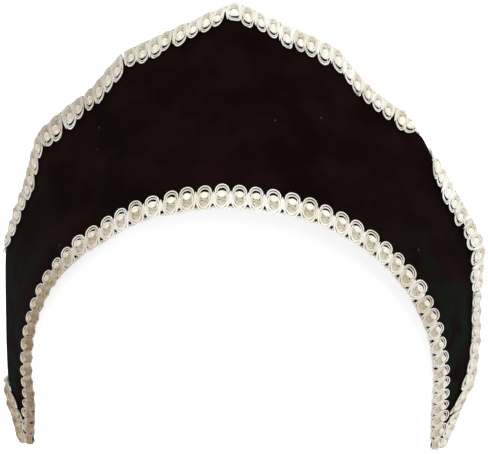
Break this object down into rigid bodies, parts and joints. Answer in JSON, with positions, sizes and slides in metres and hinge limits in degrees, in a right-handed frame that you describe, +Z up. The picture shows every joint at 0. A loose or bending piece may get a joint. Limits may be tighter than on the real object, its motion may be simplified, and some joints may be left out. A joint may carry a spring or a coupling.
{
  "type": "french hood",
  "caption": "Stiff black velvet crescent of a french hood, edged with a scalloped pearl loop braid round the face and round the outer rim.",
  "frame": {"origin": "middle of the hood's outline, on the surface that it lies on, back side down", "axes": "+X across the hood, +Y from the two tips to the top of the crown, +Z up to the edge that frames the face"},
  "size_m": [0.1982, 0.1812, 0.0687],
  "materials": {
    "velvet": "black cotton velvet with a short dense pile over a stiff shell",
    "pearl_braid": "ivory satin gimp in concentric loops, with ivory pearl beads, toned warmer towards the tips"
  },
  "bodies": {
    "root": {"velvet_crescent": "velvet", "inner_pearl_braid": "pearl_braid", "outer_pearl_braid": "pearl_braid"}
  },
  "joints": []
}
